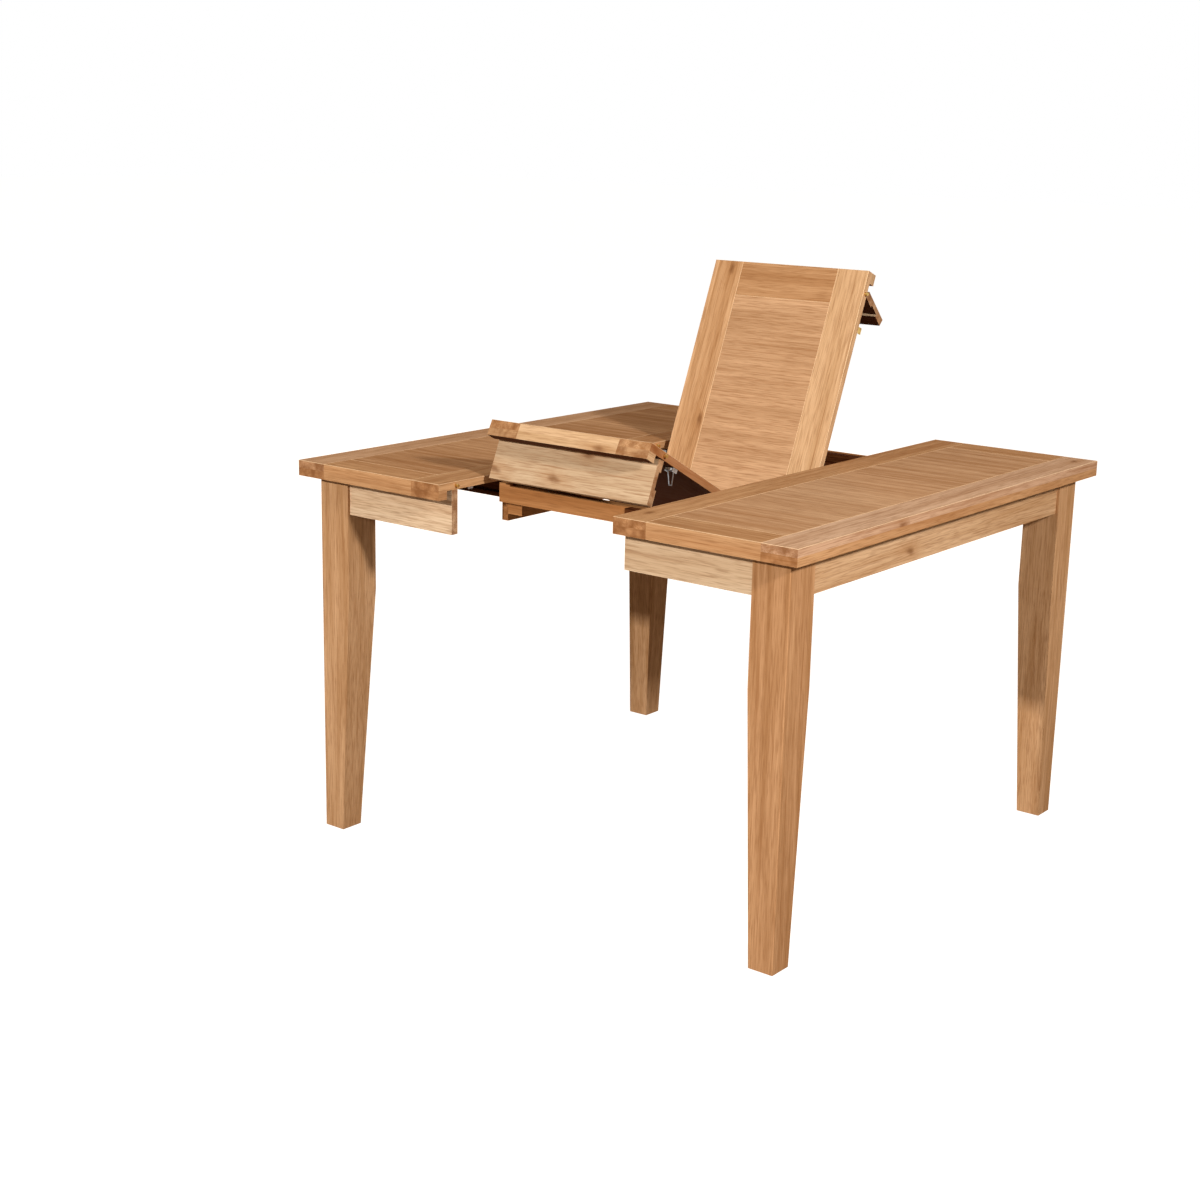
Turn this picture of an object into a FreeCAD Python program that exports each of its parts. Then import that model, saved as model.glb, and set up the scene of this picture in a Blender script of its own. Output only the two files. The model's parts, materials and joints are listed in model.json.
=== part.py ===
"""Extending counter-height table with a folding centre leaf, caught half unfolded. Millimetres, +Z up.

X is the way the two halves pull apart, Y runs along the leaf, and the feet stand on Z = 0.
The leaf is drawn flat, as it lies in use, and then turned about its own pins to the stored pose.
"""

import FreeCAD, Part
import math
import os

from FreeCAD import Vector

os.makedirs("parts", exist_ok=True)

X_AXIS = Vector(1, 0, 0)
Y_AXIS = Vector(0, 1, 0)
OVERRUN = 5.0  # how far every cutting solid runs past the face it cuts

# Whole table
table_height = 914.0
table_depth = 1370.0
half_width = 450.0
open_clear = 20.0

# Boards of the tops and of the leaf
board_thickness = 18.0
stile_width = 85.0
cross_width = 88.0
edge_ease = 0.8
lip_drop = 19.0
lip_width = 27.0

# Legs and aprons
leg_section = 90.0
foot_section = 60.0
taper_height = 600.0
leg_inset = 36.0
leg_ease = 2.0
apron_thickness = 19.0
apron_height = 103.0
apron_recess = 7.0

# Slide: rails on the carrier, runners under the tops
rail_from_edge = 205.0
rail_thickness = 30.0
rail_height = 39.0
carrier_clear = 21.0
rail_drop = 28.0
rail_end_rise = 6.0
rail_end_length = 32.0
tongue_height = 12.0
tongue_depth = 8.0
slide_clearance = 0.3
runner_thickness = 22.0
runner_height = 46.0
runner_step = 8.0
runner_step_clear = 4.0
runner_end_clear = 33.0
inner_runner_start = 45.0
outer_runner_start = 135.0
side_rail_thickness = 18.0
side_rail_height = 47.0
side_rail_overlap = 10.0
side_rail_seat = 10.0
gusset_leg = 42.0
gusset_height = 30.0

# Leaf and its pivots
leaf_width = 450.0
leaf_seam = 0.3
pivot_from_hinge = 175.0
pivot_depth = 36.0
pivot_radius = 5.0
pivot_running = 0.08
pivot_block_length = 44.0
pivot_block_height = 32.0
pivot_block_width = 24.0
pivot_block_inset = 3.0
pivot_pin_seat = 16.0
bracket_thickness = 14.0
bracket_width = 40.0
bracket_top = 12.0
swing_angle = 68.3
front_tilt = 27.6

# Alignment pins between the edges
pin_radius = 4.0
pin_reach = 8.0
pin_bury = 22.0
socket_clearance = 0.4
pin_end_offset = 56.0
pin_second_offset = 560.0

# Hinges
plate_thickness = 1.4
hinge_radius = 3.0
hinge_pin_radius = 1.5
hinge_running = 0.06
hinge_clear = 0.4
hinge_side_gap = 0.3
hinge_middle_share = 0.36
leaf_hinge_length = 60.0
leaf_hinge_depth = 16.0
leaf_hinge_from_side = 100.0
flap_hinge_length = 50.0
flap_hinge_plate = 28.0
flap_hinge_from_side = 75.0
flap_hinge_drop = 3.2

# Flaps that close the apron line under the leaf
flap_gap = 1.0
flap_side_clear = 1.0
flap_notch_length = 40.0
flap_notch_depth = 6.5
front_notch = (24.0, 64.0)
rear_notch = (33.0, 66.0)
front_flap_fold = 5.0
rear_flap_fold = 24.0

# Clasps under the leaf and their catch plates under the tops
clasp_from_end = 110.0
clasp_inset = 1.0
clasp_width = 22.0
clasp_length = 18.0
clasp_ear_thickness = 2.0
clasp_ear_height = 9.0
bail_wire = 1.2
bail_running = 0.08
bail_width = 16.0
bail_length = 32.0
bail_nose_share = 0.45
hook_from_end = 143.0
hook_width = 16.0
hook_thickness = 2.5
hook_height = 17.0
catch_length = 34.0
catch_width = 16.0
catch_thickness = 2.5
catch_lip = 6.0
catch_inset = 4.0

# Places that follow from the sizes above
half_depth = table_depth / 2
open_gap = leaf_width + 2 * open_clear
half_gap = open_gap / 2
board_bottom = table_height - board_thickness
lip_bottom = board_bottom - lip_drop
leaf_side = leaf_width / 2
leaf_hinge_offset = leaf_side - leaf_hinge_from_side
flap_hinge_offset = leaf_side - flap_hinge_from_side
leg_outer_x = half_gap + half_width - leg_inset
leg_outer_y = half_depth - leg_inset
apron_bottom = board_bottom - apron_height
apron_face_y = leg_outer_y - apron_recess
apron_face_x = leg_outer_x - apron_recess
runner_reach = apron_face_x - apron_thickness - runner_end_clear - half_gap
rail_front = half_depth - rail_from_edge
rail_top = table_height - rail_drop
rail_bottom = rail_top - rail_height
rail_back = rail_front - rail_thickness
rail_length = leaf_width + 2 * carrier_clear
rail_end = rail_length / 2
pivot_height = table_height - pivot_depth
side_rail_inner = rail_end - side_rail_overlap
side_rail_end = rail_back + side_rail_seat
pin_height = board_bottom + board_thickness / 2
pin_places = (half_depth - pin_end_offset, half_depth - pin_second_offset)


def box(x, y, z):
    """A block between two places along each axis, given in either order."""
    low = Vector(min(x), min(y), min(z))
    return Part.makeBox(abs(x[1] - x[0]), abs(y[1] - y[0]), abs(z[1] - z[0]), low)


def eased_board(x, y, z):
    """A board whose four top edges are planed off a little, which leaves a V between boards."""
    block = box(x, y, z)
    top = max(z)
    rim = [e for e in block.Edges if all(v.Z > top - edge_ease for v in e.Vertexes)]
    return block.makeChamfer(edge_ease, rim)


def rod(start, direction, length, radius):
    """A round bar from a point along a direction."""
    return Part.makeCylinder(radius, length, start, direction)


def save(name, *solids):
    """Write one named piece, or a group of like pieces, to its own file."""
    shape = solids[0] if len(solids) == 1 else Part.makeCompound(list(solids))
    shape.exportStep("parts/" + name + ".step")


# The two halves of the top
def top_boards(side, name):
    """Five boards edge to edge: two long ones, a cross board at each end, and the panel between."""
    inner, outer = side * half_gap, side * (half_gap + half_width)
    inner_joint, outer_joint = inner + side * stile_width, outer - side * stile_width
    thick = (board_bottom, table_height)
    whole = (-half_depth, half_depth)
    joint_y = half_depth - cross_width
    edge_board = eased_board((inner, inner_joint), whole, thick)
    for place in pin_places:
        for end in (-1, 1):
            mouth = Vector(inner - side * OVERRUN, end * place, pin_height)
            if side < 0:
                hole = rod(mouth, -X_AXIS, OVERRUN + pin_bury, pin_radius)
            else:
                deep = OVERRUN + pin_reach + socket_clearance
                hole = rod(mouth, X_AXIS, deep, pin_radius + socket_clearance)
            edge_board = edge_board.cut(hole)
    save(name + "_inner_board", edge_board)
    save(name + "_outer_board", eased_board((outer_joint, outer), whole, thick))
    across = (inner_joint, outer_joint)
    save(name + "_front_board", eased_board(across, (-half_depth, -joint_y), thick))
    save(name + "_rear_board", eased_board(across, (joint_y, half_depth), thick))
    save(name + "_panel", eased_board(across, (-joint_y, joint_y), thick))


def top_lip(side, name):
    """Three strips under the rim that make the thin top look thick, with a hollow behind them."""
    inner, outer = side * half_gap, side * (half_gap + half_width)
    deep = (lip_bottom, board_bottom)
    behind = outer - side * lip_width
    strips = [box((behind, outer), (-half_depth, half_depth), deep)]
    for end in (-1, 1):
        strips.append(box((inner, behind), (end * half_depth, end * (half_depth - lip_width)), deep))
    save(name + "_lip_strips", *strips)


def leg(side, end, name):
    """A square post whose two inner faces taper to the foot while the outer two stay plumb."""
    outer_x, outer_y = side * leg_outer_x, end * leg_outer_y
    inner_x, inner_y = outer_x - side * leg_section, outer_y - end * leg_section
    foot_x, foot_y = outer_x - side * foot_section, outer_y - end * foot_section
    past_x, past_y = inner_x - side * OVERRUN, inner_y - end * OVERRUN
    post = box((outer_x, inner_x), (outer_y, inner_y), (0, board_bottom))
    heights = (taper_height, 0, -OVERRUN, -OVERRUN, taper_height)
    across_x = [Vector(x, past_y, z) for x, z in zip((inner_x, foot_x, foot_x, past_x, past_x), heights)]
    across_y = [Vector(past_x, y, z) for y, z in zip((inner_y, foot_y, foot_y, past_y, past_y), heights)]
    reach = leg_section + 2 * OVERRUN
    for outline, way in ((across_x, Y_AXIS * end * reach), (across_y, X_AXIS * side * reach)):
        post = post.cut(Part.Face(Part.makePolygon(outline + outline[:1])).extrude(way))
    plumb = max(post.Edges, key=lambda e: e.BoundBox.ZLength)
    save(name, post.makeFillet(leg_ease, [plumb]))


def aprons(side, name):
    """Rails between the legs; the front and rear ones stop at the opening of the top."""
    tall = (apron_bottom, board_bottom)
    leg_inner_x = leg_outer_x - leg_section
    leg_inner_y = leg_outer_y - leg_section
    for end, place in ((-1, "front"), (1, "rear")):
        thick = (end * apron_face_y, end * (apron_face_y - apron_thickness))
        save(name + "_" + place + "_apron", box((side * half_gap, side * leg_inner_x), thick, tall))
    thick = (side * apron_face_x, side * (apron_face_x - apron_thickness))
    save(name + "_outer_apron", box(thick, (-leg_inner_y, leg_inner_y), tall))


def runner(side, end, name):
    """A bar screwed under the top that slides along one face of the carrier's rail.

    Front left and rear right run inside the rails, the other two outside, so the ends can pass.
    """
    inside = side * end > 0
    start = inner_runner_start if inside else outer_runner_start
    near = rail_back - slide_clearance if inside else rail_front + slide_clearance
    away = -1 if inside else 1
    far = near + away * runner_thickness
    finish = half_gap + runner_reach
    step = half_gap + runner_step_clear
    low = board_bottom - runner_height
    bar = box((side * start, side * finish), (end * near, end * far), (low, board_bottom - runner_step))
    bar = bar.fuse(box((side * step, side * finish), (end * near, end * far), (low, board_bottom)))
    groove_z = (rail_bottom + rail_top) / 2
    half_groove = tongue_height / 2 + slide_clearance
    groove_y = (end * (near - away * OVERRUN), end * (near + away * tongue_depth))
    whole = (side * (start - OVERRUN), side * (finish + OVERRUN))
    bar = bar.cut(box(whole, groove_y, (groove_z - half_groove, groove_z + half_groove)))
    save(name, bar.removeSplitter())


def catch_plates(side, name):
    """Bent brass plates under the inner edge that the leaf's clasps hook over."""
    plates = []
    back = half_gap + catch_inset
    front = back + catch_length
    for end, from_end in ((-1, clasp_from_end), (1, hook_from_end)):
        middle = end * (half_depth - from_end)
        wide = (middle - catch_width / 2, middle + catch_width / 2)
        flat = box((side * back, side * front), wide, (board_bottom - catch_thickness, board_bottom))
        bent = (side * back, side * (back + catch_thickness))
        flat = flat.fuse(box(bent, wide, (board_bottom - catch_lip, board_bottom)))
        plates.append(flat.removeSplitter())
    save(name + "_catch_plates", *plates)


for side, name in ((-1, "left"), (1, "right")):
    top_boards(side, name)
    top_lip(side, name)
    aprons(side, name)
    catch_plates(side, name)
    for end, place in ((-1, "front"), (1, "rear")):
        leg(side, end, name + "_" + place + "_leg")
        runner(side, end, name + "_" + place + "_runner")

left_pins = []
for place in pin_places:
    for end in (-1, 1):
        tip = Vector(-half_gap + pin_reach, end * place, pin_height)
        left_pins.append(rod(tip, -X_AXIS, pin_reach + pin_bury, pin_radius))
save("left_alignment_pins", *left_pins)


# The carrier that hangs between the halves and holds the leaf
def cross_rail(end, name):
    """A rail with a tongue on each face for the runners, and ends that stand a little proud."""
    rail = box((-rail_end, rail_end), (end * rail_front, end * rail_back), (rail_bottom, rail_top))
    for side in (-1, 1):
        ends = (side * rail_end, side * (rail_end - rail_end_length))
        raised = (rail_bottom, rail_top + rail_end_rise)
        rail = rail.fuse(box(ends, (end * rail_front, end * rail_back), raised))
    tongue_z = (rail_bottom + rail_top) / 2
    tall = (tongue_z - tongue_height / 2, tongue_z + tongue_height / 2)
    bury = tongue_depth - slide_clearance
    for side in (-1, 1):
        inside = side * end > 0
        start = side * (inner_runner_start if inside else outer_runner_start)
        face, tip = (rail_back, rail_back - bury) if inside else (rail_front, rail_front + bury)
        rail = rail.fuse(box((start, side * rail_end), (end * face, end * tip), tall))
    save(name, rail.removeSplitter())


def side_rail(side, name):
    """A deep rail under the cross rails' ends, outside the leaf, that carries a pivot bracket."""
    wide = (side * side_rail_inner, side * (side_rail_inner + side_rail_thickness))
    save(name, box(wide, (-side_rail_end, side_rail_end), (rail_bottom - side_rail_height, rail_bottom)))


def gusset(side, end):
    """A three-cornered glue block under a cross rail, against the side rail."""
    corner = Vector(side * side_rail_inner, end * side_rail_end, rail_bottom - gusset_height)
    along = corner + Vector(-side * gusset_leg, 0, 0)
    inward = corner + Vector(0, -end * gusset_leg, 0)
    outline = Part.makePolygon([corner, along, inward, corner])
    return Part.Face(outline).extrude(Vector(0, 0, gusset_height))


def pivot_bracket(side):
    """A steel cheek on the side rail with a welded stud that the leaf turns on."""
    inner_face = side_rail_inner + (side_rail_thickness - bracket_thickness) / 2
    wide = (side * inner_face, side * (inner_face + bracket_thickness))
    along = (pivot_from_hinge - bracket_width / 2, pivot_from_hinge + bracket_width / 2)
    cheek = box(wide, along, (rail_bottom, pivot_height + bracket_top))
    root = Vector(side * (inner_face + bracket_thickness), pivot_from_hinge, pivot_height)
    tip = leaf_side - pivot_block_inset - pivot_pin_seat
    stud = rod(root, X_AXIS * -side, inner_face + bracket_thickness - tip, pivot_radius)
    return cheek.fuse(stud).removeSplitter()


cross_rail(-1, "carrier_front_rail")
cross_rail(1, "carrier_rear_rail")
side_rail(-1, "carrier_left_side_rail")
side_rail(1, "carrier_right_side_rail")
save("carrier_gussets", *[gusset(side, end) for side in (-1, 1) for end in (-1, 1)])
save("pivot_brackets", pivot_bracket(-1), pivot_bracket(1))

# The leaf, drawn flat and then turned to the stored pose
swing = math.radians(swing_angle)
hinge_y = pivot_from_hinge * (1 - math.cos(swing)) - pivot_depth * math.sin(swing)
hinge_z = pivot_height - pivot_from_hinge * math.sin(swing) + pivot_depth * math.cos(swing)
flat_hinge = Vector(0, 0, table_height)
pivot_point = Vector(0, pivot_from_hinge, pivot_height)
stored_hinge = Vector(0, hinge_y, hinge_z)


def turned(shape, centre, angle):
    """A copy turned about a line along X through a point."""
    copy = shape.copy()
    copy.rotate(centre, X_AXIS, angle)
    return copy


def stored(end, shape):
    """Carry a piece of one leaf half from where it lies flat to its stored pose."""
    if end > 0:
        return turned(shape, pivot_point, swing_angle)
    copy = turned(shape, flat_hinge, -front_tilt)
    copy.translate(stored_hinge - flat_hinge)
    return copy


def save_leaf(end, name, *solids):
    """Write pieces of a leaf half in their stored pose."""
    save(name, *[stored(end, s) for s in solids])


def hinge_zones(middle, length):
    """The lengths along X of the middle knuckle and of the two outer ones."""
    half_middle = length * hinge_middle_share / 2
    outer = half_middle + hinge_side_gap
    half = length / 2
    return (middle - half_middle, middle + half_middle), [
        (middle - half, middle - outer), (middle + outer, middle + half)]


def knuckle(zone, y, z, radius):
    """A round bar about a hinge line, over one length along X."""
    return rod(Vector(zone[0], y, z), X_AXIS, zone[1] - zone[0], radius)


def hinge_pair(pinned, loose, length, middle, y, z):
    """Give two plates their knuckles about one line: the pinned one holds the pin in the outer two."""
    centre, outers = hinge_zones(middle, length)
    room = hinge_radius + hinge_clear
    bore = hinge_pin_radius + hinge_running
    grown = (centre[0] - hinge_side_gap, centre[1] + hinge_side_gap)
    pinned = pinned.cut(knuckle(grown, y, z, room))
    ends = (middle - length / 2, middle + length / 2)
    for outer in outers:
        stretched = (outer[0] - hinge_side_gap, outer[1] + hinge_side_gap)
        loose = loose.cut(knuckle(stretched, y, z, room))
        pinned = pinned.fuse(knuckle(outer, y, z, hinge_radius))
    loose = loose.fuse(knuckle(centre, y, z, hinge_radius)).cut(knuckle(ends, y, z, bore))
    pinned = pinned.fuse(knuckle(ends, y, z, hinge_pin_radius))
    return pinned.removeSplitter(), loose.removeSplitter()


def leaf_half(end, name):
    """Four boards and a lip: a long board each side, a cross board outside, and the panel inside."""
    seam, outer = end * leaf_seam / 2, end * half_depth
    joint_y = end * (half_depth - cross_width)
    joint_x = leaf_side - stile_width
    thick = (board_bottom, table_height)
    long_boards = {}
    for side, label in ((-1, "left"), (1, "right")):
        plank = eased_board((side * joint_x, side * leaf_side), (seam, outer), thick)
        for place in pin_places:
            mouth = Vector(side * (leaf_side + OVERRUN), end * place, pin_height)
            if side > 0:
                plank = plank.cut(rod(mouth, -X_AXIS, OVERRUN + pin_bury, pin_radius))
            else:
                deep = OVERRUN + pin_reach + socket_clearance
                plank = plank.cut(rod(mouth, X_AXIS, deep, pin_radius + socket_clearance))
        long_boards[label] = plank
    for label, plank in long_boards.items():
        for zone in hinge_rows:
            plank = plank.cut(hinge_recess(zone))
        save_leaf(end, name + "_" + label + "_board", plank)
    across = (-joint_x, joint_x)
    save_leaf(end, name + "_end_board", eased_board(across, (joint_y, outer), thick))
    panel = eased_board(across, (seam, joint_y), thick)
    for zone in hinge_rows:
        panel = panel.cut(hinge_recess(zone))
    save_leaf(end, name + "_panel", panel)
    rim = (outer, end * (half_depth - lip_width))
    save_leaf(end, name + "_lip_strip", box((-leaf_side, leaf_side), rim, (lip_bottom, board_bottom)))
    pins = []
    for place in pin_places:
        tip = Vector(leaf_side + pin_reach, end * place, pin_height)
        pins.append(rod(tip, -X_AXIS, pin_reach + pin_bury, pin_radius))
    save_leaf(end, name + "_pins", *pins)


hinge_rows = [-leaf_hinge_offset, leaf_hinge_offset]


def hinge_recess(middle):
    """The room that one leaf hinge takes in the boards' meeting ends."""
    half = leaf_hinge_length / 2 + hinge_side_gap
    zone = (middle - half, middle + half)
    reach = plate_thickness + leaf_seam / 2
    slot = box(zone, (-reach, reach), (table_height - leaf_hinge_depth, table_height + OVERRUN))
    return slot.fuse(knuckle(zone, 0, table_height, hinge_radius + hinge_clear))


def leaf_hinges():
    """Brass hinges let into the meeting ends, on a line level with the top face."""
    sides = {-1: [], 1: []}
    for middle in hinge_rows:
        wide = (middle - leaf_hinge_length / 2, middle + leaf_hinge_length / 2)
        deep = (table_height - leaf_hinge_depth, table_height)
        plates = []
        for end in (1, -1):
            inner = end * leaf_seam / 2
            plates.append(box(wide, (inner, inner + end * plate_thickness), deep))
        rear, front = hinge_pair(plates[0], plates[1], leaf_hinge_length, middle, 0, table_height)
        sides[1].append(rear)
        sides[-1].append(front)
    save_leaf(1, "leaf_hinges_rear_side", *sides[1])
    save_leaf(-1, "leaf_hinges_front_side", *sides[-1])


leaf_half(-1, "front_leaf")
leaf_half(1, "rear_leaf")
leaf_hinges()


# Flaps: the apron pieces that hang from the leaf and fold up flat beneath it
flap_back = apron_face_y - apron_thickness
flap_hinge_y = flap_back - flap_hinge_drop
flap_hinge_z = board_bottom - flap_hinge_drop
flap_side = leaf_side - flap_side_clear


def flap(end, name, fold, notch):
    """A board on two butt hinges, cut away inside at its ends where it folds over the clasps."""
    fold_angle = -end * fold
    line = Vector(0, end * flap_hinge_y, flap_hinge_z)
    thick = (end * flap_back, end * apron_face_y)
    slab = box((-flap_side, flap_side), thick, (apron_bottom, board_bottom - flap_gap))
    for side in (-1, 1):
        ends = (side * (flap_side - flap_notch_length), side * (flap_side + OVERRUN))
        deep = (end * (flap_back - OVERRUN), end * (flap_back + flap_notch_depth))
        slab = slab.cut(box(ends, deep, (flap_hinge_z - notch[0], flap_hinge_z - notch[1])))
    fixed, moving = [], []
    for side in (-1, 1):
        middle = side * flap_hinge_offset
        wide = (middle - flap_hinge_length / 2, middle + flap_hinge_length / 2)
        under = (board_bottom - plate_thickness, board_bottom)
        upper = box(wide, (end * flap_hinge_y, end * (flap_hinge_y - flap_hinge_plate)), under)
        against = (end * (flap_back - plate_thickness), end * flap_back)
        lower = box(wide, against, (flap_hinge_z, flap_hinge_z - flap_hinge_plate))
        pair = hinge_pair(upper, lower, flap_hinge_length, middle, end * flap_hinge_y, flap_hinge_z)
        fixed.append(pair[0])
        moving.append(pair[1])
    save_leaf(end, name, turned(slab, line, fold_angle))
    save_leaf(end, name + "_hinges_leaf_side", *fixed)
    save_leaf(end, name + "_hinges_flap_side", *[turned(m, line, fold_angle) for m in moving])


flap(-1, "front_flap", front_flap_fold, front_notch)
flap(1, "rear_flap", rear_flap_fold, rear_notch)


# What the leaf turns on and what holds it to the tops
def pivot_block(side):
    """A hardwood block under the rear half, bored for the bracket's stud."""
    outer = side * (leaf_side - pivot_block_inset)
    wide = (outer, outer - side * pivot_block_width)
    along = (pivot_from_hinge - pivot_block_length / 2, pivot_from_hinge + pivot_block_length / 2)
    block = box(wide, along, (board_bottom - pivot_block_height, board_bottom))
    mouth = Vector(outer + side * OVERRUN, pivot_from_hinge, pivot_height)
    deep = OVERRUN + pivot_pin_seat + slide_clearance
    return block.cut(rod(mouth, X_AXIS * -side, deep, pivot_radius + pivot_running))


def clasp_place(side):
    """Where a clasp sits under the front half: its middle along X, and its pin along Y."""
    middle = side * (leaf_side - clasp_inset - clasp_width / 2)
    return middle, -(half_depth - clasp_from_end)


clasp_pin_z = board_bottom - clasp_ear_height + bail_wire + clasp_ear_thickness


def clasp_base(side):
    """A brass plate with two drilled ears that hold the ends of the bail."""
    middle, y = clasp_place(side)
    half = clasp_width / 2
    along = (y - clasp_length / 2, y + clasp_length / 2)
    base = box((middle - half, middle + half), along, (board_bottom - clasp_ear_thickness, board_bottom))
    for ear_side in (-1, 1):
        outer = middle + ear_side * half
        ear = (outer, outer - ear_side * clasp_ear_thickness)
        base = base.fuse(box(ear, along, (board_bottom - clasp_ear_height, board_bottom)))
    through = Vector(middle - half - OVERRUN, y, clasp_pin_z)
    bore = rod(through, X_AXIS, clasp_width + OVERRUN + OVERRUN, bail_wire + bail_running)
    return base.cut(bore).removeSplitter()


def bail(side):
    """A bent wire: a bar through the ears and two legs that draw in to a narrow nose."""
    middle, y = clasp_place(side)
    bar_half = clasp_width / 2
    leg_half = bail_width / 2
    nose_half = leg_half * bail_nose_share
    start = Vector(middle - bar_half, y, clasp_pin_z)
    wire = rod(start, X_AXIS, clasp_width, bail_wire)
    tips = []
    for leg_side in (-1, 1):
        top = Vector(middle + leg_side * leg_half, y, clasp_pin_z)
        tip = Vector(middle + leg_side * nose_half, y, clasp_pin_z - bail_length)
        run = tip - top
        wire = wire.fuse(rod(top, run, run.Length, bail_wire))
        wire = wire.fuse(Part.makeSphere(bail_wire, tip))
        tips.append(tip)
    nose = tips[1] - tips[0]
    wire = wire.fuse(rod(tips[0], nose, nose.Length, bail_wire))
    return turned(wire, Vector(middle, y, clasp_pin_z), front_tilt)


def hook(side):
    """A brass angle under the rear half that a catch on the top draws against."""
    outer = side * (leaf_side - clasp_inset)
    wide = (outer, outer - side * clasp_width)
    middle = half_depth - hook_from_end
    along = (middle - hook_width / 2, middle + hook_width / 2)
    flat = box(wide, along, (board_bottom - hook_thickness, board_bottom))
    upright = box((outer, outer - side * hook_thickness), along, (board_bottom - hook_height, board_bottom))
    return flat.fuse(upright).removeSplitter()


save_leaf(1, "pivot_blocks", pivot_block(-1), pivot_block(1))
save_leaf(1, "rear_leaf_hooks", hook(-1), hook(1))
save_leaf(-1, "clasp_bases", clasp_base(-1), clasp_base(1))
save_leaf(-1, "left_bail", bail(-1))
save_leaf(-1, "right_bail", bail(1))
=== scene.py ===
import bmesh
import bpy
import json
import math
import random
from mathutils import Euler, Matrix, Vector

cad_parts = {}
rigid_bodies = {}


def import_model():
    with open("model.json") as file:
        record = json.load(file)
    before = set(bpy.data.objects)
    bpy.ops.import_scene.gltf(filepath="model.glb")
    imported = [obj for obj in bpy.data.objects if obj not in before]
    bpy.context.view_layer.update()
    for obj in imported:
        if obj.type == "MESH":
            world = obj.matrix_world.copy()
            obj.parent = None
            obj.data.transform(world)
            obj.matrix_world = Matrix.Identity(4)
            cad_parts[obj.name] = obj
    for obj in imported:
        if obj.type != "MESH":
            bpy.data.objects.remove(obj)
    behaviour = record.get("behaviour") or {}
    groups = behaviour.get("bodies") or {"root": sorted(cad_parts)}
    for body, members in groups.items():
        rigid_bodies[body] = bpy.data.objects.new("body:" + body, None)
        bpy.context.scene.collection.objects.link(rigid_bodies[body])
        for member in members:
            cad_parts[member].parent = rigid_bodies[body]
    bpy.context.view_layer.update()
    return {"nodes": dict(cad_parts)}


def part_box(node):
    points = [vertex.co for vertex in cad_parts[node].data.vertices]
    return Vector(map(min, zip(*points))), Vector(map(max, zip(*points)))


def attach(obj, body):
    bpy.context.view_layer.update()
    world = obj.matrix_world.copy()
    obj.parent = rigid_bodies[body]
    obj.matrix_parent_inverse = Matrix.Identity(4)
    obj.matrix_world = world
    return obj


# The table as drawn: every piece stands where it was built and is only given its finish here.
# Screw heads, a floor, light and a camera are added round it.
for left_over in list(bpy.data.objects):
    bpy.data.objects.remove(left_over)
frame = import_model()
nodes = frame["nodes"]


# The two tops: solid acacia boards, planed and glued edge to edge, with a small V left at each joint.
# Two long boards run front to back, and the cross boards and the panel between them run the other way.
# The face is sanded, stained to honey and sealed with a satin lacquer.
MM = 0.001


def linear(code):
    """An sRGB hex value as the linear colour that a socket takes."""
    shares = [int(code[i:i + 2], 16) / 255 for i in (1, 3, 5)]
    return [s / 12.92 if s <= 0.04045 else ((s + 0.055) / 1.055) ** 2.4 for s in shares] + [1.0]


def add_node(tree, kind, sockets=None, **settings):
    """Add a node with its settings; a socket takes a value, an output, or a node for its first output."""
    node = tree.nodes.new("ShaderNode" + kind)
    for key, value in settings.items():
        setattr(node, key, value)
    for key, value in (sockets or {}).items():
        if isinstance(value, bpy.types.Node):
            value = value.outputs[0]
        if isinstance(value, bpy.types.NodeSocket):
            tree.links.new(value, node.inputs[key])
        else:
            node.inputs[key].default_value = value
    return node


def new_material(name):
    """An empty material and its node tree."""
    material = bpy.data.materials.new(name)
    material.use_nodes = True
    return material, material.node_tree


def surface(tree, colour, roughness, relief):
    """The shader of a material, with its colour, roughness and relief linked."""
    shader = tree.nodes["Principled BSDF"]
    for key, made in (("Base Color", colour), ("Roughness", roughness), ("Normal", relief)):
        tree.links.new(made.outputs[0], shader.inputs[key])
    return shader


def finish_with(piece, material):
    """Give a piece of the frame one material all over."""
    nodes[piece].data.materials.clear()
    nodes[piece].data.materials.append(material)


# Turns about Y and Z that lay the fibres along the grain frame's X
FIBRE_TURNS = {"x": (0, 0), "y": (0, -math.pi / 2), "z": (math.pi / 2, 0)}


def grain_frame(tree, piece, along, tilt):
    """The turn into the wood's own frame, the object's coordinates, and places and faces in that frame."""
    low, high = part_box(piece)
    turn = Euler((-math.radians(tilt), *FIBRE_TURNS[along]))
    middle = turn.to_matrix() @ ((low + high) / 2)
    where = add_node(tree, "TexCoord")
    spot = add_node(
        tree, "Mapping", {"Vector": where.outputs["Object"], "Location": -middle, "Rotation": turn})
    facing = add_node(
        tree, "Mapping", {"Vector": where.outputs["Normal"], "Rotation": turn}, vector_type="VECTOR")
    return turn, where, spot, facing


# From the middle of a lip to where its corner blocks start
LIP_BLOCK_START = 140 * MM


def lip_grain(tree, turn, where, spot, faces, end_face):
    """Places and end grain of a lip: the strip shows its length, and the corner blocks show end grain."""
    sideways = Euler((turn.x, 0, -math.pi / 2))
    strip = add_node(tree, "Mapping", {"Vector": where.outputs["Object"], "Rotation": sideways})
    both = add_node(tree, "Mix", {0: end_face, 4: spot, 5: strip}, data_type="VECTOR")
    reach = add_node(tree, "SeparateXYZ", {0: spot})
    reach = add_node(tree, "Math", {0: reach.outputs["X"]}, operation="ABSOLUTE")
    block = add_node(tree, "Math", {0: reach, 1: LIP_BLOCK_START}, operation="GREATER_THAN")
    front = add_node(tree, "Math", {0: faces.outputs["Y"], 1: 0.7}, operation="GREATER_THAN")
    block_end = add_node(tree, "Math", {0: block, 1: front}, operation="MULTIPLY")
    return both.outputs[1], block_end


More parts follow.
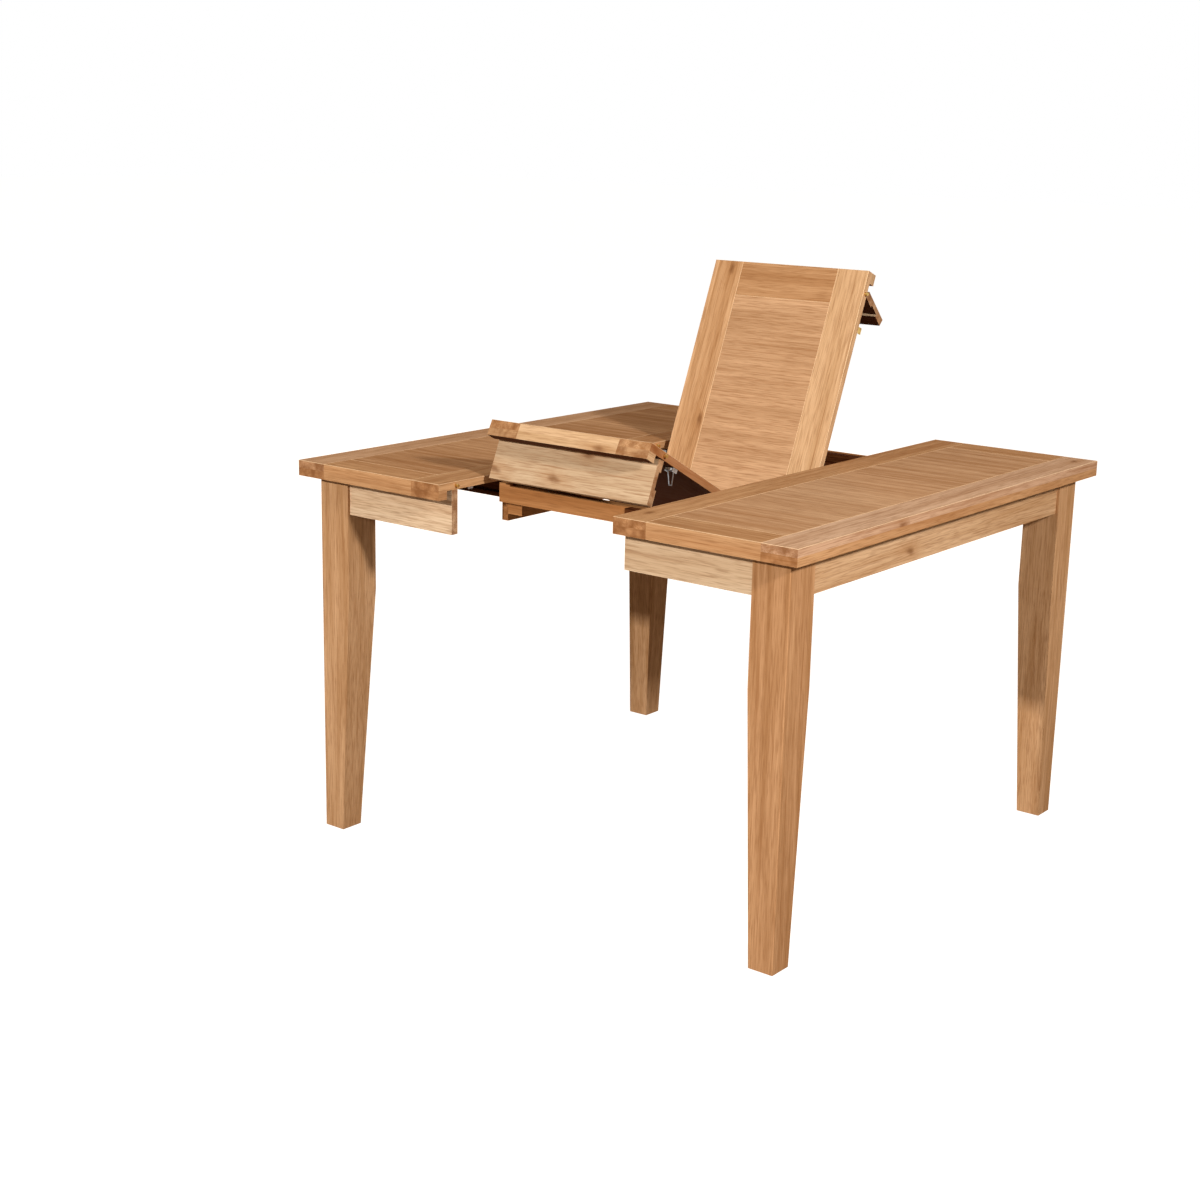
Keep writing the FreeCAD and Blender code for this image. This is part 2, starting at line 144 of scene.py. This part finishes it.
KNOT_SPACING = (230 * MM, 105 * MM)
KNOT_RAGGEDNESS, KNOT_RAG_WIDTH = 14 * MM, 25 * MM
KNOT_LEAN_SHARE = 0.7


def knot_marks(tree, spot, seed, knots):
    """Knots 20 to 30 mm long, a hand or two apart, and how far each pulls the rings round it.

    They slant through the board, so faces and edges both show them.
    """
    rag = add_node(tree, "TexNoise", {"Vector": spot, "Scale": 1 / KNOT_RAG_WIDTH, "Detail": 2})
    rag_size = (KNOT_RAGGEDNESS, KNOT_RAGGEDNESS, 0)
    ragged = add_node(
        tree, "VectorMath", {0: rag.outputs["Color"], 1: rag_size, 2: spot}, operation="MULTIPLY_ADD")
    part = add_node(tree, "SeparateXYZ", {0: ragged})
    slant = add_node(tree, "Math", {0: part.outputs["Y"], 1: part.outputs["Z"]}, operation="ADD")
    lean = add_node(
        tree, "Math", {0: part.outputs["Z"], 1: KNOT_LEAN_SHARE, 2: part.outputs["X"]},
        operation="MULTIPLY_ADD")
    sheet = add_node(tree, "CombineXYZ", {"X": lean, "Y": slant})
    per_knot = (1 / KNOT_SPACING[0], 1 / KNOT_SPACING[1], 0)
    knot_place = add_node(
        tree, "VectorMath", {0: sheet, 1: per_knot, 2: (seed, seed * 2, 0)}, operation="MULTIPLY_ADD")
    cell = add_node(
        tree, "TexVoronoi", {"Vector": knot_place, "Scale": 1, "Randomness": 0.9}, voronoi_dimensions="2D")
    drawn = add_node(tree, "SeparateXYZ", {0: cell.outputs["Color"]})
    chosen = add_node(tree, "Math", {0: drawn.outputs["X"], 1: 1 - knots}, operation="GREATER_THAN")
    away = cell.outputs["Distance"]
    pull = add_node(tree, "MapRange", {"Value": away, "From Min": 0.30, "From Max": 0.0})
    pull = add_node(tree, "Math", {0: pull, 1: chosen}, operation="MULTIPLY")
    knot = add_node(
        tree, "MapRange", {"Value": away, "From Min": 0.11, "From Max": 0.01},
        interpolation_type="SMOOTHSTEP")
    knot = add_node(tree, "Math", {0: knot, 1: chosen}, operation="MULTIPLY")
    return pull, knot


RING_SPACING = 5 * MM
WANDER_LENGTH, WANDER_WIDTH, WANDER_REACH = 600 * MM, 90 * MM, 45 * MM
KNOT_PULL = 22 * MM


def growth_rings(tree, spot, growth, pull, chance):
    """Growth rings 5 mm apart about a pith that lies outside the board, wandering a little along it."""
    per_wander = (1 / WANDER_LENGTH, 1 / WANDER_WIDTH, 1 / WANDER_WIDTH)
    wander = add_node(tree, "VectorMath", {0: spot, 1: per_wander}, operation="MULTIPLY")
    wander = add_node(
        tree, "TexNoise", {"Vector": wander, "W": growth, "Scale": 1, "Detail": 2}, noise_dimensions="4D")
    pith = (0, chance.uniform(-60, 60) * MM, chance.uniform(70, 130) * MM)
    along_share = chance.uniform(0.01, 0.05)
    ring = add_node(
        tree, "VectorMath", {0: spot, 1: (along_share, 1, 1), 2: pith}, operation="MULTIPLY_ADD")
    ring = add_node(tree, "VectorMath", {0: ring}, operation="LENGTH").outputs["Value"]
    for bend, reach in ((wander, WANDER_REACH), (pull, KNOT_PULL)):
        ring = add_node(tree, "Math", {0: bend, 1: reach, 2: ring}, operation="MULTIPLY_ADD")
    ring = add_node(tree, "Math", {0: ring, 1: 2 * math.pi / RING_SPACING}, operation="MULTIPLY")
    ring = add_node(tree, "Math", {0: ring}, operation="SINE")
    return add_node(tree, "MapRange", {"Value": ring, "From Min": -0.2, "From Max": 1.0})


# Length and width of the pores, streaks and veins, the span of noise that shows, and a shift to part them.
# Pores are under a millimetre wide; they are drawn 2 mm wide so that they show at this size.
FIBRE_MARKS = (
    (45 * MM, 2.2 * MM, 0.46, 0.70, 0),
    (420 * MM, 18 * MM, 0.32, 0.70, 9),
    (350 * MM, 5 * MM, 0.54, 0.72, 17))


def fibre_marks(tree, spot, growth):
    """The pores, the streaks and the veins of the wood, all drawn out along the fibres."""
    for length, width, faint, full, shift in FIBRE_MARKS:
        drawn_out = (1 / length, 1 / width, 1 / width)
        mark = add_node(
            tree, "VectorMath", {0: spot, 1: drawn_out, 2: (shift, shift, 0)}, operation="MULTIPLY_ADD")
        mark = add_node(
            tree, "TexNoise", {"Vector": mark, "W": growth, "Scale": 1, "Detail": 2}, noise_dimensions="4D")
        yield add_node(tree, "MapRange", {"Value": mark, "From Min": faint, "From Max": full})


BLOTCH_WIDTH, PORE_DEPTH, RING_RELIEF_SHARE = 22 * MM, 0.15 * MM, 0.3
BEVEL_SLOPE, BEVEL_SPREAD = 0.707, 0.12
STAVE_JUMP = 30.0
LACQUER_IOR, LACQUER_GLEAM = 1.5, 0.004


def lacquered_acacia(piece, along, light, dark, knots, tilt=0.0, stave_width=72,
                     joint_highlight=False, lip=False, edge=0.0, sealed_shaded_side=("Z", -1)):
    """Acacia under satin lacquer: straight honey streaks, fine dark pores, a few knots, browner end grain.

    The grain runs along one axis of the piece as it lies flat, and knots is the share of their places filled.
    The joint option paints a highlight on the bevels of the V joints, a paler colour for the light they
    catch.
    edge is the share of darkening on the long side faces, and the last argument gives the axis and the way of
    the side out of sight, coloured with a thin dark sealer and painted shade. The width of a stave is in
    millimetres.
    """
    chance = random.Random(piece)
    material, tree = new_material(piece + "_acacia")
    seed = chance.uniform(0, 50)
    tone = chance.uniform(0.94, 1.05)
    light, dark = ([c * tone for c in linear(code)[:3]] + [1.0] for code in (light, dark))

    turn, where, spot, facing = grain_frame(tree, piece, along, tilt)
    signed = add_node(tree, "SeparateXYZ", {0: facing})
    faces = add_node(tree, "VectorMath", {0: facing}, operation="ABSOLUTE")
    faces = add_node(tree, "SeparateXYZ", {0: faces})
    end_face = add_node(tree, "MapRange", {"Value": faces.outputs["X"], "From Min": 0.75, "From Max": 0.9})
    if lip:
        spot, end_face = lip_grain(tree, turn, where, spot, faces, end_face)

    # Each board is glued up from staves, and the grain and tone change from one to the next
    across = add_node(tree, "SeparateXYZ", {0: spot}).outputs["Y"]
    first_edge = chance.uniform(0.25, 0.75)
    stave = add_node(
        tree, "Math", {0: across, 1: 1 / (stave_width * MM), 2: first_edge}, operation="MULTIPLY_ADD")
    stave = add_node(tree, "Math", {0: stave}, operation="FLOOR")
    stave = add_node(tree, "TexWhiteNoise", {"W": stave}, noise_dimensions="1D").outputs["Value"]
    growth = add_node(tree, "Math", {0: stave, 1: STAVE_JUMP, 2: seed}, operation="MULTIPLY_ADD")

    pull, knot = knot_marks(tree, spot, seed, knots)
    ring = growth_rings(tree, spot, growth, pull, chance)
    pore, streak, vein = fibre_marks(tree, spot, growth)
    blotch = add_node(
        tree, "TexNoise", {"Vector": spot, "W": seed, "Scale": 1 / BLOTCH_WIDTH, "Detail": 3},
        noise_dimensions="4D")
    blotch = add_node(tree, "MapRange", {"Value": blotch, "From Min": 0.38, "From Max": 0.62})
    blotch = add_node(tree, "Math", {0: blotch, 1: end_face}, operation="MULTIPLY")

    # Stain: light wood, darker streaks, browner end grain and rings, then dark veins, pores and knots
    stave_tone = add_node(tree, "MapRange", {"Value": stave, "To Min": -0.12, "To Max": 0.28})
    streak_share = add_node(tree, "Math", {0: streak, 1: stave_tone}, operation="ADD", use_clamp=True)
    colour = add_node(tree, "MixRGB", {0: streak_share, 1: light, 2: dark})
    end_share = add_node(tree, "Math", {0: end_face, 1: 0.5}, operation="MULTIPLY")
    colour = add_node(tree, "MixRGB", {0: end_share, 1: colour, 2: linear("#a9744a")})
    ring_depth = add_node(tree, "MapRange", {"Value": end_face, "To Min": 0.22, "To Max": 0.6})
    ring_share = add_node(tree, "Math", {0: ring, 1: ring_depth}, operation="MULTIPLY")
    colour = add_node(tree, "MixRGB", {0: ring_share, 1: colour, 2: dark})
    for mark, depth, stain in (
            (blotch, 0.7, "#744422"), (pore, 0.5, "#85552e"), (vein, 0.45, "#8f5c32"),
            (pull, 0.45, "#a06c3e"), (knot, 0.6, "#6b3f20")):
        share = add_node(tree, "Math", {0: mark, 1: depth}, operation="MULTIPLY")
        colour = add_node(tree, "MixRGB", {0: share, 1: colour, 2: linear(stain)})
    if edge:
        # The long side faces are darkened towards a deep brown by the given share
        side_darkening = add_node(
            tree, "MapRange",
            {"Value": faces.outputs["Y"], "From Min": 0.8, "From Max": 0.95, "To Max": edge})
        colour = add_node(tree, "MixRGB", {0: side_darkening, 1: colour, 2: linear("#8a4a1c")})
    if joint_highlight:
        # Painted highlight: the bevel at each V joint is coloured paler, for the light that it catches
        eased = add_node(
            tree, "Math", {0: faces.outputs["Z"], 1: BEVEL_SLOPE, 2: BEVEL_SPREAD}, operation="COMPARE")
        eased = add_node(tree, "Math", {0: eased, 1: 0.7}, operation="MULTIPLY")
        colour = add_node(tree, "MixRGB", {0: eased, 1: colour, 2: linear("#e8c79e")})
    if sealed_shaded_side:
        # Painted shade with sealer: the side out of sight gets one thin coat of dark sealer and no lacquer,
        # and is darkened further for the deep shade it lies in
        axis, way = sealed_shaded_side
        under = add_node(
            tree, "MapRange",
            {"Value": signed.outputs[axis], "From Min": way * 0.8, "From Max": way * 0.95, "To Max": 0.94})
        colour = add_node(tree, "MixRGB", {0: under, 1: colour, 2: linear("#3f1a0b")})

    # Satin lacquer is thin and fills most of the pores, so there is hardly a gleam for them to break
    sheen = add_node(tree, "MapRange", {"Value": pore, "To Min": 0.64, "To Max": 0.78})
    relief = add_node(tree, "Math", {0: ring, 1: RING_RELIEF_SHARE, 2: pore}, operation="MULTIPLY_ADD")
    bump = add_node(tree, "Bump", {"Strength": 0.25, "Distance": PORE_DEPTH, "Height": relief}, invert=True)
    shader = surface(tree, colour, sheen, bump)
    shader.inputs["IOR"].default_value = LACQUER_IOR
    shader.inputs["Specular IOR Level"].default_value = LACQUER_GLEAM
    finish_with(piece, material)


TOP_STAIN = ("#d0a173", "#b07e53")
# Painted light: the left half's outer board and panel are coloured darker and the right half's paler, for the
# weaker light on the left half
for half, outer_lit_tone, panel_lit_tone in (
        ("left", ("#d9af89", "#bd9069"), ("#cfa176", "#ad7d53")),
        ("right", ("#dfb896", "#c59b78"), ("#d7ab82", "#b7885f"))):
    lacquered_acacia(half + "_inner_board", "y", *TOP_STAIN, knots=0.3, joint_highlight=True)
    lacquered_acacia(half + "_outer_board", "y", *outer_lit_tone, knots=0.3, joint_highlight=True, edge=0.25)
    for board in ("front_board", "rear_board"):
        lacquered_acacia(half + "_" + board, "x", *TOP_STAIN, knots=0.15, joint_highlight=True)
    lacquered_acacia(half + "_panel", "x", *panel_lit_tone, knots=0.0, joint_highlight=True)


# Lip strips: acacia strips glued under the rim, so that the thin top looks twice as thick.
# At each corner of the front they show end grain, in line with the ends of the long boards.
for half in ("left", "right"):
    lacquered_acacia(half + "_lip_strips", "x", *TOP_STAIN, knots=0.3, lip=True)


# Legs: square acacia posts, sawn to a taper on the two inner faces and eased along the outer corner.
# The stain is a little browner here, and each leg is one piece of wood, with a few knots in all but one.
LEG_STAIN, ONE_STAVE = ("#d6a97e", "#b5875c"), 4000
for leg, stain, knots in (
        ("left_front_leg", LEG_STAIN, 0.25), ("left_rear_leg", LEG_STAIN, 0.25),
        ("right_front_leg", ("#c9996e", "#a5764d"), 0.0), ("right_rear_leg", LEG_STAIN, 0.25)):
    lacquered_acacia(leg, "z", *stain, knots=knots, stave_width=ONE_STAVE, sealed_shaded_side=None)


# Aprons: thin acacia boards tenoned between the legs, in paler stock than the tops.
# The front and rear ones stop at the opening, so that the halves can close.
for half, pale_stain in (("left", ("#e8cca9", "#d2af8a")), ("right", ("#e2c6a3", "#ccaa85"))):
    for place in ("front", "rear"):
        lacquered_acacia(half + "_" + place + "_apron", "x", *pale_stain, knots=0.15)
    lacquered_acacia(half + "_outer_apron", "y", "#deb890", "#be9369", knots=0.7)


# Runners and carrier: plain planed bars, stained redder and left duller than the parts on show; the runners'
# near-black brown is painted shade.
# The runners are screwed under the tops and slide on tongues along the carrier's cross rails.
FRAME_STAIN = ("#c48b59", "#a26b3d")
for half in ("left", "right"):
    for place in ("front", "rear"):
        # Painted shade: the runners are coloured near-black brown for the deep shade under the tops
        lacquered_acacia(half + "_" + place + "_runner", "x", "#5a2c15", "#3c190b", knots=0.1)
for rail in ("carrier_front_rail", "carrier_rear_rail"):
    lacquered_acacia(rail, "x", *FRAME_STAIN, knots=0.1)
for rail in ("carrier_left_side_rail", "carrier_right_side_rail"):
    lacquered_acacia(rail, "y", *FRAME_STAIN, knots=0.1)
lacquered_acacia("carrier_gussets", "x", *FRAME_STAIN, knots=0.0)


# The leaf: two halves of the same boards as the tops, hinged across the middle so that it folds.
# The rear half stands steeply on its pivots, and the front half slopes up towards the front.
REAR_TILT, FRONT_TILT = 68.3, -27.6
LEAF_RIM_STAIN = ("#d6b189", "#be976c")
for half, tilt, end_stain, side_darkening_share in (
        ("front", FRONT_TILT, LEAF_RIM_STAIN, 0.65), ("rear", REAR_TILT, ("#c99b6f", "#aa7b51"), 0.0)):
    leaf = half + "_leaf"
    lacquered_acacia(leaf + "_left_board", "y", "#d3a67a", "#b48559", knots=0.5, tilt=tilt, joint_highlight=True)
    lacquered_acacia(
        leaf + "_right_board", "y", "#deb488", "#c79c70", knots=0.15, tilt=tilt, joint_highlight=True, edge=side_darkening_share)
    lacquered_acacia(leaf + "_end_board", "x", *end_stain, knots=0.2, tilt=tilt, joint_highlight=True)
    lacquered_acacia(leaf + "_panel", "x", "#d2a67d", "#b48962", knots=0.0, tilt=tilt, joint_highlight=True)
    lacquered_acacia(leaf + "_lip_strip", "x", *LEAF_RIM_STAIN, knots=0.4, tilt=tilt, lip=True)
lacquered_acacia("pivot_blocks", "y", *FRAME_STAIN, knots=0.0, tilt=REAR_TILT)


# Flaps: pale knotty boards hung on butt hinges under the ends of the leaf.
# They close the line of the aprons when the leaf lies flat, and hang at a slant here.
FRONT_FOLD, REAR_FOLD = 5, -24
for half, tilt, inside in (
        ("front", FRONT_TILT + FRONT_FOLD, 1), ("rear", REAR_TILT + REAR_FOLD, -1)):
    # Painted shade with sealer: the inner face of each flap is coloured dark, for sealer and the deep shade
    # under the leaf
    lacquered_acacia(
        half + "_flap", "x", "#d2b592", "#bd9d7a", knots=0.9, tilt=tilt, sealed_shaded_side=("Y", inside))


# Hardware: pressed and drawn brass for the pins, hinges and hooks, and zinc-plated steel for the rest.
# It is tumbled, not polished, so the gloss is broken by fine scratches and a little tarnish.
# Real scratches are finer; they are drawn 0.6 mm apart so that they can show up close.
SCRATCH_SPACING, SCRATCH_DEPTH, SCRATCH_STRETCH_SHARE = 0.6 * MM, 0.05 * MM, 0.05
TARNISH_WIDTH = 8 * MM


def drawn_metal(name, bright, dull, roughness):
    """A metal with a brushed surface: scratches 0.6 mm apart and cloudy tarnish 8 mm wide."""
    material, tree = new_material(name)
    where = add_node(tree, "TexCoord").outputs["Object"]
    cloud = add_node(tree, "TexNoise", {"Vector": where, "Scale": 1 / TARNISH_WIDTH, "Detail": 3})
    cloud = add_node(tree, "MapRange", {"Value": cloud, "From Min": 0.35, "From Max": 0.75})
    colour = add_node(tree, "MixRGB", {0: cloud, 1: linear(bright), 2: linear(dull)})
    brushed = add_node(tree, "Mapping", {"Vector": where, "Scale": (SCRATCH_STRETCH_SHARE, 1, 1)})
    scratch = add_node(tree, "TexNoise", {"Vector": brushed, "Scale": 1 / SCRATCH_SPACING, "Detail": 2})
    gloss = add_node(
        tree, "MapRange", {"Value": scratch, "To Min": roughness - 0.08, "To Max": roughness + 0.12})
    bump = add_node(tree, "Bump", {"Strength": 0.15, "Distance": SCRATCH_DEPTH, "Height": scratch})
    surface(tree, colour, gloss, bump).inputs["Metallic"].default_value = 1.0
    return material


brass = drawn_metal("tumbled_brass", "#d8b469", "#a67f3f", 0.32)
steel = drawn_metal("zinc_plated_steel", "#c4c6c8", "#94979a", 0.36)
for piece in ("left_alignment_pins", "leaf_hinges_front_side", "leaf_hinges_rear_side", "rear_leaf_hooks"):
    finish_with(piece, brass)
for half in ("front", "rear"):
    for fitting in ("_leaf_pins", "_flap_hinges_leaf_side", "_flap_hinges_flap_side"):
        finish_with(half + fitting, brass)
for piece in (
        "pivot_brackets", "left_catch_plates", "right_catch_plates", "clasp_bases",
        "left_bail", "right_bail"):
    finish_with(piece, steel)


# Screws: countersunk cross-head screws that fix the plates, blocks, runners and rails.
# They are brass on the leaf and the flaps and plated steel elsewhere.
# Each head is pressed with a shallow crown and a cross, and stands half a millimetre proud.
HEAD_RINGS, HEAD_SECTORS = 8, 32
CROWN = 0.5
CROSS_ARM_SHARE, CROSS_REACH_SHARE, CROSS_DEPTH_SHARE, CROSS_FLOOR_SHARE = 0.14, 0.34, 0.12, 0.36


def put_in_scene(name, data):
    """A new object in the scene that holds a mesh, a lamp or a lens."""
    thing = bpy.data.objects.new(name, data)
    bpy.context.scene.collection.objects.link(thing)
    return thing


def head_height(x, y, width):
    """How far a screw head rises at a place on it: a domed crown, with a cross that deepens to its middle."""
    reach = math.hypot(x, y)
    rise = CROWN * (1 - (2 * reach / width) ** 2)
    if min(abs(x), abs(y)) < CROSS_ARM_SHARE * width and reach < CROSS_REACH_SHARE * width:
        rise -= CROSS_DEPTH_SHARE * width * (1 - reach / (CROSS_FLOOR_SHARE * width))
    return rise


def screw_heads(name, body, heads, metal):
    """One mesh of screw heads; each is a place, the way it faces and its width, in millimetres."""
    shape = bmesh.new()
    for place, out, width in heads:
        facing = Vector(out).to_track_quat("Z", "Y").to_matrix().to_4x4()
        stand = Matrix.Translation(Vector(place) * MM) @ facing
        rows = []
        for i in range(HEAD_RINGS + 1):
            reach = width / 2 * i / HEAD_RINGS
            row = []
            for j in range(HEAD_SECTORS if i else 1):
                angle = 2 * math.pi * j / HEAD_SECTORS
                x, y = reach * math.cos(angle), reach * math.sin(angle)
                row.append(shape.verts.new(stand @ (Vector((x, y, head_height(x, y, width))) * MM)))
            rows.append(row)
        for j in range(HEAD_SECTORS):
            k = (j + 1) % HEAD_SECTORS
            shape.faces.new((rows[0][0], rows[1][j], rows[1][k]))
            for i in range(1, HEAD_RINGS):
                shape.faces.new((rows[i][j], rows[i + 1][j], rows[i + 1][k], rows[i][k]))
    mesh = bpy.data.meshes.new(name)
    shape.to_mesh(mesh)
    shape.free()
    mesh.materials.append(metal)
    piece = put_in_scene(name, mesh)
    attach(piece, body)


DOWN = Vector((0, 0, -1))
BOARD_BOTTOM = 896
LEAF_PIVOT, LEAF_HINGE = Vector((0, 175, 878)), Vector((0, 0, 914))


def turn_about(point, degrees):
    """A turn about a line along X through a point."""
    turn = Matrix.Rotation(math.radians(degrees), 4, "X")
    return Matrix.Translation(point) @ turn @ Matrix.Translation(-point)


rear_leaf_rest = turn_about(LEAF_PIVOT, REAR_TILT)
hinge_move = rear_leaf_rest @ LEAF_HINGE - LEAF_HINGE
front_leaf_rest = Matrix.Translation(hinge_move) @ turn_about(LEAF_HINGE, FRONT_TILT)


def carried(move, heads):
    """The same screw heads, carried from the flat leaf to where it rests."""
    return [(move @ Vector(place), move.to_3x3() @ Vector(out), width) for place, out, width in heads]


def in_pairs(x, y, z, apart, width):
    """Screw heads that face down, two on the left and two on the right, one behind the other."""
    return [((side * x, y + step, z), DOWN, width) for side in (-1, 1) for step in (-apart / 2, apart / 2)]


# Places with the leaf flat, and widths of the heads, of the leaf's and the flaps' screws
HINGE_SCREWS_X, HINGE_SCREW = (-164, -136, 136, 164), 6.5
LEAF_WING_Y, LEAF_WING_Z = 601, BOARD_BOTTOM - 1.4
FLAP_WING_Y, FLAP_WING_Z = 621.6, 874
FLAP_PIN_Y, FLAP_PIN_Z = 619.8, 892.8
HOOK_Y, CLASP_Y, CATCH_FACE = 542, -575, BOARD_BOTTOM - 2.5
clasp_screws = in_pairs(x=213, y=CLASP_Y, z=BOARD_BOTTOM - 2, apart=11, width=5)
hook_screws = in_pairs(x=211, y=HOOK_Y, z=CATCH_FACE, apart=9, width=5)
block_screws = in_pairs(x=210, y=LEAF_PIVOT.y, z=BOARD_BOTTOM - 32, apart=28, width=8)
for half, end, rest, fold, fittings in (
        ("front", -1, front_leaf_rest, FRONT_FOLD, clasp_screws),
        ("rear", 1, rear_leaf_rest, REAR_FOLD, hook_screws + block_screws)):
    leaf_side = [((x, end * LEAF_WING_Y, LEAF_WING_Z), DOWN, HINGE_SCREW) for x in HINGE_SCREWS_X]
    flap_side = [((x, end * FLAP_WING_Y, FLAP_WING_Z), (0, -end, 0), HINGE_SCREW) for x in HINGE_SCREWS_X]
    hung = rest @ turn_about(Vector((0, end * FLAP_PIN_Y, FLAP_PIN_Z)), fold)
    screw_heads(half + "_flap_screws", half + "_flap", carried(hung, flap_side), brass)
    screw_heads(half + "_leaf_screws", half + "_leaf", carried(rest, leaf_side + fittings), brass)

CATCH_SCREWS_X, CATCH_SCREW = (261, 275), 6
RUNNER_SCREWS_X, RUNNER_SCREW, RUNNER_BOTTOM = (300, 430, 560), 9, 850
INNER_RUNNER_Y, OUTER_RUNNER_Y = 438.7, 491.3
for half, side in (("left", -1), ("right", 1)):
    heads = []
    for x in CATCH_SCREWS_X:
        heads += [((side * x, y, CATCH_FACE), DOWN, CATCH_SCREW) for y in (CLASP_Y, HOOK_Y)]
    screw_heads(half + "_catch_screws", half + "_half", heads, steel)
    heads = []
    for end in (-1, 1):
        row = end * (INNER_RUNNER_Y if side == end else OUTER_RUNNER_Y)
        heads += [((side * x, row, RUNNER_BOTTOM), DOWN, RUNNER_SCREW) for x in RUNNER_SCREWS_X]
    screw_heads(half + "_runner_screws", half + "_half", heads, steel)

BRACKET_SCREWS_Y = (LEAF_PIVOT.y - 12, LEAF_PIVOT.y + 12)
BRACKET_FACE_X, BRACKET_SCREWS_Z, BRACKET_SCREW = 252, 857, 7
GUSSET_X, GUSSET_Y, GUSSET_BOTTOM, GUSSET_SCREW = 245, 454, 800, 9
heads = []
for side in (-1, 1):
    heads += [
        ((side * BRACKET_FACE_X, y, BRACKET_SCREWS_Z), (side, 0, 0), BRACKET_SCREW) for y in BRACKET_SCREWS_Y]
for side in (-1, 1):
    heads += [((side * GUSSET_X, y, GUSSET_BOTTOM), DOWN, GUSSET_SCREW) for y in (-GUSSET_Y, GUSSET_Y)]
screw_heads("carrier_screws", "carrier", heads, steel)


# Floor: a pale studio floor of painted board that runs out past the view on all sides.
# The camera sees it lifted to white, and it still takes the table's shadow.
FLOOR_REACH, FLOOR_LEVEL, FLOOR_LIFT = 40.0, -1 * MM, 0.97


def seen_share(tree):
    """1 for the camera, straight or by way of gloss or glass, and 0 for the light that falls on the table."""
    ray = add_node(tree, "LightPath").outputs
    seen = ray["Is Camera Ray"]
    for other in ("Is Glossy Ray", "Is Transmission Ray"):
        seen = add_node(tree, "Math", {0: seen, 1: ray[other]}, operation="MAXIMUM")
    return seen


corners = [(x * FLOOR_REACH, y * FLOOR_REACH, FLOOR_LEVEL) for x, y in ((-1, -1), (1, -1), (1, 1), (-1, 1))]
ground = bpy.data.meshes.new("studio_floor")
ground.from_pydata(corners, [], [(0, 1, 2, 3)])
floor = put_in_scene("studio_floor", ground)
paint, tree = new_material("matt_white_paint")
tree.nodes.remove(tree.nodes["Principled BSDF"])
matt = add_node(tree, "BsdfDiffuse", {"Color": linear("#a3968a")})
lit = add_node(tree, "Math", {0: seen_share(tree), 1: FLOOR_LIFT}, operation="MULTIPLY")
lift = add_node(tree, "Emission", {"Color": linear("#ffffff"), "Strength": lit})
both = add_node(tree, "AddShader", {0: matt, 1: lift})
tree.links.new(both.outputs[0], tree.nodes["Material Output"].inputs["Surface"])
ground.materials.append(paint)


# Studio light: softboxes from the front and the right, a weak warm one behind, and an even pale surround.
# Together they light a front face at about the level where its colour shows as written.
# The one behind is kept out of the gloss, where it would lie as a haze on the tops.
LIGHT_AIM = Vector((0, 0, 0.7))
SURROUND_LIGHT = 0.16


def softbox(name, towards, distance, width, watts):
    """A square softbox at a distance from the middle of the table."""
    lamp = bpy.data.lights.new(name, "AREA")
    lamp.energy, lamp.size = watts, width
    box = put_in_scene(name, lamp)
    away = Vector(towards).normalized()
    box.location = LIGHT_AIM + away * distance
    box.rotation_euler = away.to_track_quat("Z", "Y").to_euler()
    return box


softbox("front_softbox", (0.0, -2.44, 0.95), distance=8.0, width=0.25, watts=465)
softbox("right_softbox", (1.9, -0.69, 1.0), distance=5.0, width=0.4, watts=198)
rear_fill = softbox("rear_softbox", (-1.6, 1.9, 0.6), distance=6.0, width=2.0, watts=125)
rear_fill.visible_glossy = False
rear_fill.data.color = linear("#ffdcb4")[:3]
surround = bpy.data.worlds.new("pale_surround")
bpy.context.scene.world = surround
surround.use_nodes = True
tree = surround.node_tree
white = seen_share(tree)
level = add_node(tree, "MapRange", {"Value": white, "To Min": SURROUND_LIGHT, "To Max": 1.0})
tint = add_node(tree, "MixRGB", {0: white, 1: linear("#ffe8d2"), 2: linear("#ffffff")})
sky = tree.nodes["Background"]
tree.links.new(tint.outputs[0], sky.inputs["Color"])
tree.links.new(level.outputs[0], sky.inputs["Strength"])


# Camera: a short telephoto a little above the table, off its front right corner.
# It looks slightly down and is turned about a degree in its mount.
YAW, PITCH, ROLL = (math.radians(a) for a in (38.057, 14.215, 1.220))
EYE = Vector((2.5765, -3.7005, 1.7007))
back = Vector((math.sin(YAW) * math.cos(PITCH), -math.cos(YAW) * math.cos(PITCH), math.sin(PITCH)))
right = (-back).cross(Vector((0, 0, 1))).normalized()
up = right.cross(-back)
rolled_right = math.cos(ROLL) * right + math.sin(ROLL) * up
rolled_up = -math.sin(ROLL) * right + math.cos(ROLL) * up
lens = bpy.data.cameras.new("table_camera")
lens.lens, lens.sensor_width = 56.63, 36.0
camera = put_in_scene("table_camera", lens)
aim = Matrix((rolled_right, rolled_up, back)).transposed().to_4x4()
camera.matrix_world = Matrix.Translation(EYE) @ aim
bpy.context.scene.camera = camera
bpy.context.scene.view_settings.view_transform = "Standard"
